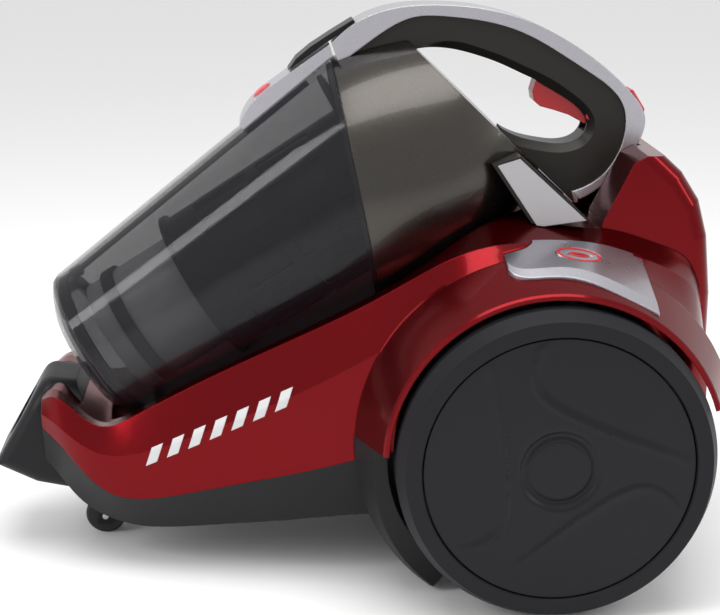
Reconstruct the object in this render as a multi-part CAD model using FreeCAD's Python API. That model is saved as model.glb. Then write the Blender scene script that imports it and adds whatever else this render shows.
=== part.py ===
import FreeCAD, Part
import os
from math import cos, radians, sin

# Canister vacuum cleaner. Millimetres, +Z up, the hose inlet points to -X, the near (left) side is -Y.
# The origin is on the floor, in the symmetry plane, at the middle of the overall length.

V = FreeCAD.Vector
Y_AXIS = V(0, 1, 0)
Z_AXIS = V(0, 0, 1)
GAP = 0.3          # space left between pieces that only face each other
RUN = 0.05         # radial clearance of a running fit
WALL = 3.0         # body shell thickness

# Overall size
HALF_LENGTH = 221.5
HALF_WIDTH = 155.0

# Main wheels
WHEEL_X = 113.5
WHEEL_R = 92.0
WHEEL_WIDTH = 34.0
TYRE_FACE_R = 87.2
TYRE_BORE_R = 78.0
SHOULDER = 10.4
AXLE_R = 5.0
HUB_R = 13.0

# Wheel arches: a cone round the wheel from the body side out to a thin lip
BODY_SIDE = 104.0
ARCH_BASE_R = 113.0
ARCH_LIP_R = 98.5
ARCH_LIP_Y = 140.0
ARCH_INNER_R = 95.5

# Dust bin: a cone on a tilted axis, with the door at its low front end
BIN_TILT = 32.0
BIN_FRONT = V(-153.5, 0, 124.5)
BIN_R0 = 54.5
BIN_TAPER = 0.12
CUP_WALL = 2.2
HEAD_WALL = 2.6
JOINT_POINT = V(8.2, 0, 224.0)
JOINT_TILT = 11.5
DECK_POINT = V(43.5, 0, 313.0)
DECK_TILT = 46.1
HEAD_PROFILE = [(75.0, 170), (78.5, 200), (76.0, 230), (67.0, 260), (52.0, 290), (35.0, 310)]

# Handle
STRIP_HALF_WIDTH = 17.0
GRIP_HALF_WIDTH = 15.0

# Inside the body
MOTOR_Y = -42.0
MOTOR_Z = 94.0
MOTOR_R = 49.0
REEL_X = 125.0
REEL_Z = 97.0
REEL_R = 58.0
DUCT_R = 15.5
DUCT_BORE = 13.5

# Front caster
CASTER_X = -148.0
CASTER_TRAIL = 8.0
CASTER_R = 13.0

parts = {}


# ---------------------------------------------------------------- shape helpers

def box(x, y, z):
    """A block between the low and high values given for each axis."""
    return Part.makeBox(x[1] - x[0], y[1] - y[0], z[1] - z[0], V(x[0], y[0], z[0]))


def rod(start, end, radius, bore=0.0):
    """A round bar, or a tube when it has a bore, from one point to another."""
    way = end - start
    solid = Part.makeCylinder(radius, way.Length, start, way)
    if bore:
        solid = solid.cut(Part.makeCylinder(bore, way.Length, start, way))
    return solid


def polygon(points):
    return Part.makePolygon(list(points) + [points[0]])


def prism(outline, y0, y1):
    """An (x, z) outline carried from y0 to y1."""
    points = [V(x, y0, z) for x, z in outline]
    return Part.Face(polygon(points)).extrude(V(0, y1 - y0, 0))


def turned(profile, start, way):
    """A solid of revolution. The profile is (radius, distance along way) from start, in order."""
    points = [V(r, 0, s) for r, s in profile]
    face = Part.Face(polygon(points))
    solid = face.revolve(V(0, 0, 0), Z_AXIS, 360)
    solid.Placement = FreeCAD.Placement(start, FreeCAD.Rotation(Z_AXIS, way))
    return solid


def spline(points):
    curve = Part.BSplineCurve()
    curve.interpolate(points)
    return curve.toShape()


def mirrored(shape):
    return shape.mirror(V(0, 0, 0), Y_AXIS)


def half_space(point, normal, size=900.0):
    """A big block on the side of a plane that its normal points to. The plane holds the Y axis direction."""
    block = Part.makeBox(size, size, size, V(-size / 2, -size / 2, 0))
    block.Placement = FreeCAD.Placement(point, FreeCAD.Rotation(Z_AXIS, normal))
    return block


def group(shapes):
    return Part.makeCompound(shapes)


def add(name, shape):
    parts[name] = shape


# ---------------------------------------------------------------- dust bin frame

BIN_WAY = V(cos(radians(BIN_TILT)), 0, sin(radians(BIN_TILT)))
BIN_UP = V(-sin(radians(BIN_TILT)), 0, cos(radians(BIN_TILT)))
JOINT_WAY = V(cos(radians(JOINT_TILT)), 0, sin(radians(JOINT_TILT)))
DECK_WAY = V(cos(radians(DECK_TILT)), 0, sin(radians(DECK_TILT)))


def bin_point(s, h=0.0, y=0.0):
    """A point s along the bin axis from its front rim, h above the axis and y to the side."""
    return BIN_FRONT + BIN_WAY * s + BIN_UP * h + Y_AXIS * y


def bin_radius(s):
    return BIN_R0 + BIN_TAPER * s


def on_bin(profile):
    return turned(profile, BIN_FRONT, BIN_WAY)


def bin_ring(s0, s1, outer, inner):
    return rod(bin_point(s0), bin_point(s1), outer, inner)


def head_envelope(inset=0.0, first=150.0):
    """The outside of the grey head as a solid of revolution, moved inwards by inset."""
    points = [V(bin_radius(first) - inset, 0, first)]
    points += [V(r - inset, 0, s) for r, s in HEAD_PROFILE]
    edges = [spline(points)]
    edges.append(Part.LineSegment(points[-1], V(0, 0, points[-1].z)).toShape())
    edges.append(Part.LineSegment(V(0, 0, points[-1].z), V(0, 0, first)).toShape())
    edges.append(Part.LineSegment(V(0, 0, first), points[0]).toShape())
    solid = Part.Face(Part.Wire(edges)).revolve(V(0, 0, 0), Z_AXIS, 360)
    solid.Placement = FreeCAD.Placement(BIN_FRONT, FreeCAD.Rotation(Z_AXIS, BIN_WAY))
    return solid


# ---------------------------------------------------------------- body shells

# Half sections from nose to tail: x, then (y, z) of the keel edge, the parting line, the shoulder,
# the crest of the cradle lip and the inner edge of the lip.
BODY_SECTIONS = [
    (-189, (36, 62), (43, 85), (45, 95), (41, 103), (31, 104)),
    (-178, (40, 50), (51, 77), (54, 90), (51, 107), (38, 108)),
    (-162, (45, 34), (60, 61), (63, 80), (57, 96), (44, 95)),
    (-146, (50, 27), (66, 50), (69, 76), (61, 92), (48, 90)),
    (-125, (58, 25), (73, 49), (75, 80), (66, 103), (53, 101)),
    (-90, (68, 29), (82, 57), (83, 94), (72, 122.5), (59, 120)),
    (-30, (81, 37), (94, 72), (93, 122), (80, 152.5), (66, 149)),
    (12, (88, 42), (101, 84), (100, 146), (88, 175), (72, 171)),
    (47, (94, 40), (BODY_SIDE, 90), (BODY_SIDE, 172), (93, 196), (72, 194)),
    (84, (96, 34), (BODY_SIDE, 92), (BODY_SIDE, 199), (90, 208), (62, 215)),
    (118, (96, 31), (BODY_SIDE, 92), (BODY_SIDE, 203), (88, 208), (60, 215)),
    (150, (96, 31), (BODY_SIDE, 92), (BODY_SIDE, 197), (86, 204), (60, 211)),
    (180, (94, 33), (BODY_SIDE, 92), (BODY_SIDE, 180), (82, 194), (60, 203)),
    (200, (88, 40), (98, 92), (99, 156), (76, 182), (58, 196)),
    (213, (80, 52), (88, 92), (88, 130), (66, 162), (54, 182)),
]
KEEL, PARTING, SHOULDER_EDGE, CREST, LIP = 1, 2, 3, 4, 5


def section_wire(x, half):
    """A closed section at x, from (y, z) points of its near half in order from one end to the other."""
    right = [V(x, y, z) for y, z in half]
    left = [V(x, -y, z) for y, z in reversed(half)]
    return polygon(right + left)


def inset_point(point, side, lower):
    return (point[0] - side, point[1] - lower)


def upper_loft(inset=0.0):
    wires = []
    for row in BODY_SECTIONS:
        half = [inset_point(row[PARTING], inset, 0), inset_point(row[SHOULDER_EDGE], inset, 0)]
        half += [inset_point(row[CREST], inset, inset), inset_point(row[LIP], inset, inset)]
        wires.append(section_wire(row[0], half))
    return Part.makeLoft(wires, True, False)


def lower_loft(inset=0.0):
    wires = []
    for row in BODY_SECTIONS:
        half = [inset_point(row[KEEL], inset, -inset), inset_point(row[PARTING], inset, 0)]
        wires.append(section_wire(row[0], half))
    return Part.makeLoft(wires, True, False)


def trimmed_ends(solid):
    """Leaves a wall at the nose and the tail of an inner loft."""
    first, last = BODY_SECTIONS[0][0] + WALL, BODY_SECTIONS[-1][0] - WALL
    return solid.common(box((first, last), (-200, 200), (0, 300)))


CRADLE_GAP = 4.0


def bin_shadow(clearance):
    """The space that the dust bin fills, with clearance all round, open upwards so that the bin lifts out."""
    cone = on_bin([
        (0, -14 - clearance), (50 + clearance, -8 - clearance), (BIN_R0 + clearance, 0),
        (bin_radius(170) + clearance, 170), (0, 170),
    ])
    head = head_envelope(-clearance)
    solid = cone.fuse(head)
    knuckles = rod(HINGE_POINT - Y_AXIS * 24, HINGE_POINT + Y_AXIS * 24, 6.5 + clearance / 4)
    return solid.fuse(knuckles)


HINGE_POINT = bin_point(1.0, -58.5)


def wheel_centre(y):
    return V(WHEEL_X, y, WHEEL_R)


def about_wheel(profile):
    """A ring round the left wheel's axis from (distance from the symmetry plane, radius) points."""
    return turned([(r, y) for y, r in profile], wheel_centre(0), -Y_AXIS)


def arch_sector(start, end):
    """A wedge of space round the left wheel axis between two angles, measured from +X over the top."""
    reach = 260.0
    steps = max(2, int((end - start) / 40) + 1)
    points = [V(WHEEL_X, -90, WHEEL_R)]
    for i in range(steps + 1):
        angle = radians(start + (end - start) * i / steps)
        points.append(V(WHEEL_X + reach * cos(angle), -90, WHEEL_R + reach * sin(angle)))
    return Part.Face(polygon(points)).extrude(V(0, -60, 0))


def arch_outside(base_y):
    """The cone of the wheel arch from base_y, at or inside the body side, to its lip."""
    return [(base_y, ARCH_BASE_R), (BODY_SIDE, ARCH_BASE_R), (ARCH_LIP_Y - 1.5, ARCH_LIP_R + 0.6),
            (ARCH_LIP_Y, ARCH_LIP_R - 0.6), (ARCH_LIP_Y, ARCH_INNER_R)]


def thin_arch():
    """The conical wheel arch all the way round, as a shell."""
    skin = 2.6
    return about_wheel(arch_outside(BODY_SIDE) + [
        (ARCH_LIP_Y - 3, ARCH_INNER_R + 0.4), (BODY_SIDE + skin, ARCH_BASE_R - skin - 1),
        (BODY_SIDE, ARCH_BASE_R - skin - 1),
    ])


def thick_arch(base_y):
    """The same arch, filled down to the wheel's clearance."""
    return about_wheel(arch_outside(base_y) + [(base_y, ARCH_INNER_R)])


RED_ARCH = (17.5, 177)
DARK_ARCH = (177, 233)


def trim_solid():
    """The silver shoulder trim of the left side: a bent strip that follows the shoulder and the arch."""
    rows = [
        (87, (88, 205.2), (108, 203.0), (116, 200.5)),
        (95, (85.5, 208.6), (117, 200.6), (124, 197.2)),
        (118, (85, 209.8), (118, 201.4), (126, 197.6)),
        (141, (84, 207.6), (122, 196.4), (130.5, 191.6)),
        (159, (83, 202.8), (125, 188.0), (133, 183.2)),
        (171, (82, 198.2), (126, 181.6), (133.5, 177.0)),
    ]
    wires = []
    for x, inner, edge, outer in rows:
        upper = [inner, edge, outer]
        lower = [(y - 1.5, z - 5.5) for y, z in reversed(upper)]
        wires.append(polygon([V(x, -y, z) for y, z in upper + lower]))
    return Part.makeLoft(wires, True, False)


POWER_POINT = V(130, -101, 203.6)
POWER_NORMAL = V(0.16, -0.30, 0.94).normalize()


def oval(centre, normal, long, wide, depth):
    """An oval button: its face is centred at centre, and it goes depth inwards, against normal."""
    disc = Part.Face(Part.Wire(Part.Ellipse(V(0, 0, 0), long / 2, wide / 2).toShape()))
    solid = disc.extrude(V(0, 0, -depth))
    solid.Placement = FreeCAD.Placement(centre, FreeCAD.Rotation(Z_AXIS, normal))
    return solid


BUTTON_DEPTH = 9.0
BUTTON_LONG = 27.0
BUTTON_WIDE = 15.0


def make_body():
    """The casing: chassis, red upper body, rear housing, wheel arches and shoulder trims with buttons."""
    shadow = bin_shadow(CRADLE_GAP)
    floor = bin_shadow(CRADLE_GAP + WALL)
    collar = collar_outside()

    upper = upper_loft().cut(shadow)
    cavity = trimmed_ends(upper_loft(WALL)).cut(floor)
    upper = upper.cut(cavity)
    upper = upper.cut(collar).cut(duct(DUCT_R + GAP))
    upper = upper.cut(inlet_riser(DUCT_R + 4.2))
    upper = upper.cut(outlet_port(OUTLET_R + 3.3))

    fin = fin_outside()
    fin_cavity = prism([
        (160, 200), (172, 238), (182, 249), (189, 248), (198, 240), (207, 225), (213, 204),
        (214, 160), (168, 160),
    ], -55, 55)
    upper = upper.cut(fin_cavity.common(box((150, 230), (-60, 60), (150, 215))))
    handle_slot = box((130, 183), (-STRIP_HALF_WIDTH - 1, STRIP_HALF_WIDTH + 1), (205, 262))
    slot_walls = box((130, 186), (-STRIP_HALF_WIDTH - 4, STRIP_HALF_WIDTH + 4), (202, 265))
    rear = fin.cut(fin_cavity.cut(slot_walls)).cut(upper_loft()).cut(handle_slot)
    root = about_wheel([(88, ARCH_BASE_R), (BODY_SIDE, ARCH_BASE_R), (BODY_SIDE, ARCH_BASE_R - 3.6),
                        (88, ARCH_BASE_R - 3.6)]).common(arch_sector(122, RED_ARCH[1]))
    root = root.cut(upper_loft()).cut(lower_loft())
    red_arch = thin_arch().common(arch_sector(*RED_ARCH)).cut(trim_solid()).fuse(root)
    slope = (ARCH_LIP_Y - 116) / 74.0
    keep = Part.Face(polygon([
        V(-20, -90, 200), V(-20, -ARCH_LIP_Y - 36 * slope, 200), V(-20, -116 + 18 * slope, 0), V(-20, -90, 0),
    ])).extrude(V(260, 0, 0))
    dark_arch = thick_arch(94).common(arch_sector(*DARK_ARCH)).common(keep)

    trim = trim_solid()
    long_hole, wide_hole = BUTTON_LONG + 2 * GAP, BUTTON_WIDE + 2 * GAP
    button_hole = oval(POWER_POINT + POWER_NORMAL * 4, POWER_NORMAL, long_hole, wide_hole, 20)
    upper = upper.cut(trim).cut(mirrored(trim))
    upper = upper.cut(button_hole).cut(mirrored(button_hole))
    trim = trim.cut(button_hole)
    button = oval(POWER_POINT + POWER_NORMAL * 0.8, POWER_NORMAL, BUTTON_LONG, BUTTON_WIDE, BUTTON_DEPTH)
    bar = oval(POWER_POINT + POWER_NORMAL * 1.0, POWER_NORMAL, 16, 2.6, 1.0)
    button = button.cut(bar)

    chassis = lower_loft().cut(trimmed_ends(lower_loft(WALL)))
    chassis = chassis.cut(shadow).cut(collar).cut(duct(DUCT_R + GAP))
    chassis = chassis.fuse([dark_arch, mirrored(dark_arch)])
    boss = rod(wheel_centre(-BODY_SIDE + WALL + 0.5), wheel_centre(-BODY_SIDE - 5), 15.0)
    chassis = chassis.fuse([boss, mirrored(boss)])
    upper = upper.cut(boss).cut(mirrored(boss))
    axle_hole = rod(wheel_centre(-90), wheel_centre(-130), AXLE_R)
    chassis = chassis.cut(axle_hole).cut(mirrored(axle_hole))
    chassis = with_caster_pocket(chassis)

    chassis = chassis.fuse(motor_cradles())
    for x0, x1, step in MOUNT_PLACES:
        chassis = chassis.cut(motor_ring(x0, x1, step, MOUNT_THICKNESS))
    chassis = chassis.cut(motor_ring(55, 80, 2.0, GAP))
    screws = body_screws()
    for seat, screw in zip(screw_seats(), screws):
        chassis = chassis.cut(screw).cut(rod(seat - Z_AXIS * 20, seat, 3.6))

    rear_window = box((180, 225), (-46, 46), (118, 162.6))
    pin_holes = rod(EXHAUST_HINGE - Y_AXIS * 49, EXHAUST_HINGE + Y_AXIS * 49, EXHAUST_PIN_R + RUN)
    upper = upper.cut(rear_window).cut(pin_holes).cut(chassis).cut(handle_slot)
    rear = rear.cut(rear_window).cut(pin_holes)
    gland_hole = rod(GLAND_POINT - V(20, 0, 0), GLAND_POINT + V(20, 0, 0), GLAND_R)
    upper = upper.cut(gland_hole)

    add("lower_chassis", chassis)
    add("upper_body", max(upper.Solids, key=lambda solid: solid.Volume))
    add("rear_housing", rear)
    red_arch = max(red_arch.Solids, key=lambda solid: solid.Volume)
    add("wheel_arches", group([red_arch, mirrored(red_arch)]))
    add("shoulder_trims", group([trim, mirrored(trim)]))
    add("power_button", button)
    add("rewind_button", mirrored(button))
    add("body_screws", group(screws))


def keel_height(x):
    """Height of the flat underside at x, straight between the two nearest sections."""
    for low, high in zip(BODY_SECTIONS, BODY_SECTIONS[1:]):
        if low[0] <= x <= high[0]:
            share = (x - low[0]) / (high[0] - low[0])
            return low[KEEL][1] + share * (high[KEEL][1] - low[KEEL][1])
    return 0.0


SCREW_PLACES = [(-100, 42), (15, 66), (172, 72)]


def screw_seats():
    return [V(x, side * y, keel_height(x) + 0.8) for x, y in SCREW_PLACES for side in (-1, 1)]


def body_screws():
    """The case screws: each has a head in the underside and a shank up through the chassis floor."""
    return [rod(low, low + Z_AXIS * 1.6, 3.4).fuse(rod(low, low + Z_AXIS * 12, 1.9)) for low in screw_seats()]


EXHAUST_HINGE = V(219.5, 0, 159.5)
EXHAUST_PIN_R = 1.2
GLAND_POINT = V(213, 72, 108)
GLAND_R = 7.0
MOUNT_PLACES = [(61, 69, 2.0), (128, 136, 0.0)]
MOUNT_THICKNESS = 3.5


def motor_ring(x0, x1, step, grow):
    """A ring seat round the motor between x0 and x1: step is how far its seat stands out from the can."""
    return rod(V(x0, MOTOR_Y, MOTOR_Z), V(x1, MOTOR_Y, MOTOR_Z), MOTOR_R + step + grow)


def motor_cradles():
    """Ribs on the chassis floor that carry the two rubber rings round the motor."""
    ribs = []
    for x0, x1, step in MOUNT_PLACES:
        rib = box((x0 + 1, x1 - 1), (MOTOR_Y - 32, MOTOR_Y + 32), (31, 62)).common(lower_loft())
        ribs.append(rib.cut(motor_ring(x0, x1, step, MOUNT_THICKNESS)))
    return ribs


def fin_outside():
    """The tall rear housing behind the handle, with its long outer edges bevelled."""
    half, bevel = 60.0, 11.0
    outer = [
        (150, 196), (152, 214), (170, 250), (178, 254), (190, 253), (201, 243), (212, 226),
        (218, 204), (221.5, 168), (221.5, 120), (214, 96), (200, 96),
    ]
    solid = prism(outer, -half, half)
    rim = [e for e in solid.Edges if abs(abs(e.CenterOfMass.y) - half) < 0.1
           and e.CenterOfMass.x > 185 and e.CenterOfMass.z > 100]
    return solid.makeFillet(bevel, rim)


# ---------------------------------------------------------------- hose inlet

INLET_TILT = 29.4
INLET_WAY = V(-cos(radians(INLET_TILT)), 0, sin(radians(INLET_TILT)))
INLET_FACE = V(-206.5, 0, 83.5)
INLET_R = 18.0
INLET_DEPTH = 26.0
SEAL_DEPTH = 4.5
INLET_HALF_WIDTH = 35.0
RISER_X = -77.0
DUCT_Z = 56.0


def collar_outside():
    """The black collar: a short block whose front face leans back, with rounded long edges."""
    outline = [(-190.5, 111), (-HALF_LENGTH, 57.5), (-196, 45), (-177, 41), (-165, 100), (-170, 108.5)]
    solid = prism(outline, -INLET_HALF_WIDTH, INLET_HALF_WIDTH)
    top_radius, side_radius = 20.0, 9.0

    def side_edges(shape):
        return [e for e in shape.Edges if abs(abs(e.CenterOfMass.y) - INLET_HALF_WIDTH) < 0.1
                and e.CenterOfMass.x < -178]

    solid = solid.makeFillet(top_radius, [e for e in side_edges(solid) if e.CenterOfMass.z > 100])
    return solid.makeFillet(side_radius, side_edges(solid))


def duct_path():
    """Centre line of the dust duct: in from the collar, along the bottom, and up to the bin's underside."""
    start = INLET_FACE - INLET_WAY * (INLET_DEPTH + SEAL_DEPTH)
    run = (start.z - DUCT_Z) / sin(radians(INLET_TILT))
    knee = start - INLET_WAY * run
    return [start, knee, V(RISER_X, 0, DUCT_Z), V(RISER_X, 0, 100)]


def duct(radius, first_extra=0.0, last_extra=0.0):
    start, knee, corner, end = duct_path()
    start = start + INLET_WAY * first_extra
    end = end + Z_AXIS * last_extra
    solids = [rod(start, knee, radius), rod(knee, corner, radius), rod(corner, end, radius)]
    solids += [Part.makeSphere(radius, knee), Part.makeSphere(radius, corner)]
    return solids[0].fuse(solids[1:])


def inlet_riser(radius):
    return rod(V(RISER_X, 0, 60), V(RISER_X, 0, 112), radius)


def make_inlet():
    bore = rod(INLET_FACE + INLET_WAY * 20, INLET_FACE - INLET_WAY * INLET_DEPTH, INLET_R)
    hole = rod(INLET_FACE, INLET_FACE - INLET_WAY * 70, DUCT_R + GAP / 3)
    slot = box((-4, 4), (-INLET_R - 3.5, INLET_R + 3.5), (-8, 4))
    slot.Placement = FreeCAD.Placement(INLET_FACE, FreeCAD.Rotation(Z_AXIS, INLET_WAY))
    seat = INLET_FACE - INLET_WAY * INLET_DEPTH
    seal_end = seat - INLET_WAY * SEAL_DEPTH
    pocket = rod(seat, seal_end, INLET_R + 1)
    add("inlet_collar", collar_outside().cut(bore).cut(hole).cut(slot).cut(pocket))
    shadow = bin_shadow(0.5)
    add("inlet_duct", duct(DUCT_R).cut(duct(DUCT_BORE, 5, 30)).cut(shadow))
    hose_seal = rod(seat - INLET_WAY * GAP, seal_end, INLET_R + 1, DUCT_R)
    bin_seal = rod(V(RISER_X, 0, 88), V(RISER_X, 0, 118), DUCT_R + 4, DUCT_R).cut(shadow)
    outlet_seal = outlet_port(OUTLET_R + 3).cut(outlet_port(OUTLET_R)).cut(shadow)
    outlet_seal = outlet_seal.common(half_space(bin_point(OUTLET_S, -86), BIN_UP))
    add("air_seals", group([hose_seal, bin_seal, outlet_seal]))
    tube = outlet_port(OUTLET_R + 2.5).common(half_space(bin_point(OUTLET_S, -86), -BIN_UP))
    plenum = tube.fuse(box((26, 55.6), (-75, 22), (62, 138))).common(box((0, 55.6), (-90, 90), (0, 200)))
    inside = outlet_port(OUTLET_R).fuse(box((28, 53.6), (-73, 20), (64, 136)))
    inside = inside.common(box((0, 53.6), (-90, 90), (0, 200)))
    eye = rod(V(40, MOTOR_Y, MOTOR_Z), V(60, MOTOR_Y, MOTOR_Z), 18.0)
    add("motor_plenum", plenum.cut(inside).cut(eye).cut(outlet_seal))


# ---------------------------------------------------------------- caster

def with_caster_pocket(chassis):
    """Cuts the round pocket for the front caster, roofs it over and adds the swivel bush."""
    centre = V(CASTER_X, 0, 0)
    roof_z = 32.0
    can = rod(centre + Z_AXIS * 20, centre + Z_AXIS * (roof_z + 2.5), 26.5)
    can = can.common(lower_loft())
    space = rod(centre, centre + Z_AXIS * roof_z, 24.0)
    bush = rod(centre + Z_AXIS * roof_z, centre + Z_AXIS * 39.5, 8.0)
    hole = rod(centre + Z_AXIS * 20, centre + Z_AXIS * 60, 4.0 + RUN)
    return chassis.fuse([can, bush]).cut(space).cut(hole)


def make_caster():
    centre = V(CASTER_X, 0, 0)
    axle = V(CASTER_X - CASTER_TRAIL, 0, CASTER_R)
    plate = rod(centre + Z_AXIS * 28, centre + Z_AXIS * 31.5, 12.0)
    pin = rod(centre + Z_AXIS * 28, centre + Z_AXIS * 39.2, 4.0)
    fork = plate.fuse(pin)
    for side in (-1, 1):
        inner, outer = sorted((side * 8.0, side * 11.0))
        outline = [(CASTER_X - 13.5, 8), (CASTER_X - 3.5, 8), (CASTER_X + 6, 30.5), (CASTER_X - 9, 30.5)]
        fork = fork.fuse(prism(outline, inner, outer))
    fork = fork.cut(rod(axle - Y_AXIS * 20, axle + Y_AXIS * 20, 2.0))
    add("caster_fork", fork)
    wheel = turned([(2.0 + RUN, -7), (CASTER_R - 1.5, -7), (CASTER_R, -5), (CASTER_R, 5), (CASTER_R - 1.5, 7),
                    (2.0 + RUN, 7)], axle, Y_AXIS)
    add("caster_wheel", wheel)
    add("caster_axle", rod(axle - Y_AXIS * 11, axle + Y_AXIS * 11, 2.0))


# ---------------------------------------------------------------- main wheels

def make_wheels():
    inner_y = HALF_WIDTH - WHEEL_WIDTH
    tyre = about_wheel([
        (inner_y, TYRE_BORE_R + 3), (inner_y, WHEEL_R - 3), (inner_y + 3, WHEEL_R),
        (HALF_WIDTH - SHOULDER, WHEEL_R),
        (HALF_WIDTH, TYRE_FACE_R), (HALF_WIDTH, TYRE_BORE_R + 0.6), (HALF_WIDTH - 1.2, TYRE_BORE_R),
        (HALF_WIDTH - 6, TYRE_BORE_R), (HALF_WIDTH - 6, TYRE_BORE_R + 3),
    ])
    rim = about_wheel([
        (inner_y + 1, TYRE_BORE_R + 3), (inner_y + 1, TYRE_BORE_R), (HALF_WIDTH - 12, TYRE_BORE_R - 1),
        (HALF_WIDTH - 12, HUB_R), (inner_y - 5, HUB_R), (inner_y - 5, AXLE_R + RUN),
        (HALF_WIDTH - 8, AXLE_R + RUN), (HALF_WIDTH - 8, TYRE_BORE_R - 1),
        (HALF_WIDTH - 6, TYRE_BORE_R - 1), (HALF_WIDTH - 6, TYRE_BORE_R + 3),
    ])
    for i in range(6):
        angle = radians(30 + 60 * i)
        hole = wheel_centre(0) + V(45 * cos(angle), 0, 45 * sin(angle))
        rim = rim.cut(rod(hole - Y_AXIS * 120, hole - Y_AXIS * 160, 15.0))
    cover = about_wheel([
        (HALF_WIDTH - 4.6, TYRE_BORE_R - 0.5), (HALF_WIDTH - 1.2, TYRE_BORE_R - 0.5),
        (HALF_WIDTH - 0.4, TYRE_BORE_R - 1.3), (HALF_WIDTH - 0.4, 24.5), (HALF_WIDTH - 3.0, 21.0),
        (HALF_WIDTH - 3.0, 18.0), (HALF_WIDTH - 1.6, 17.2),
        (HALF_WIDTH - 1.6, 0), (HALF_WIDTH - 4.6, 0),
    ])
    axle = rod(wheel_centre(-98), wheel_centre(-HALF_WIDTH + 5.2), AXLE_R)
    axle = axle.fuse(rod(wheel_centre(-95.5), wheel_centre(-98), 9.0))
    groove = rod(wheel_centre(-HALF_WIDTH + 7.6), wheel_centre(-HALF_WIDTH + 6.4), AXLE_R + 1, AXLE_R - 0.8)
    axle = axle.cut(groove)
    clip = rod(wheel_centre(-HALF_WIDTH + 7.5), wheel_centre(-HALF_WIDTH + 6.5), 8.0, AXLE_R - 0.8)
    for side, turn in (("left", lambda s: s), ("right", mirrored)):
        add("tyre_" + side, turn(tyre))
        add("wheel_rim_" + side, turn(rim))
        add("wheel_cover_" + side, turn(cover))
    add("wheel_axles", group([axle, mirrored(axle)]))
    add("axle_clips", group([clip, mirrored(clip)]))


# ---------------------------------------------------------------- dust bin

TUBE_R = 38.0
SHROUD_R = 47.0
SHROUD_S = 78.0
BULKHEAD_S = 206.0
OUTLET_S = 178.0
OUTLET_R = 16.0


def outlet_port(radius):
    """A round bar along the air outlet under the head, square to the bin axis."""
    return rod(bin_point(OUTLET_S, -58), bin_point(OUTLET_S, -100), radius)


def port_through(radius):
    return rod(V(RISER_X, 0, 90), V(RISER_X, 0, 135), radius)


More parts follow.
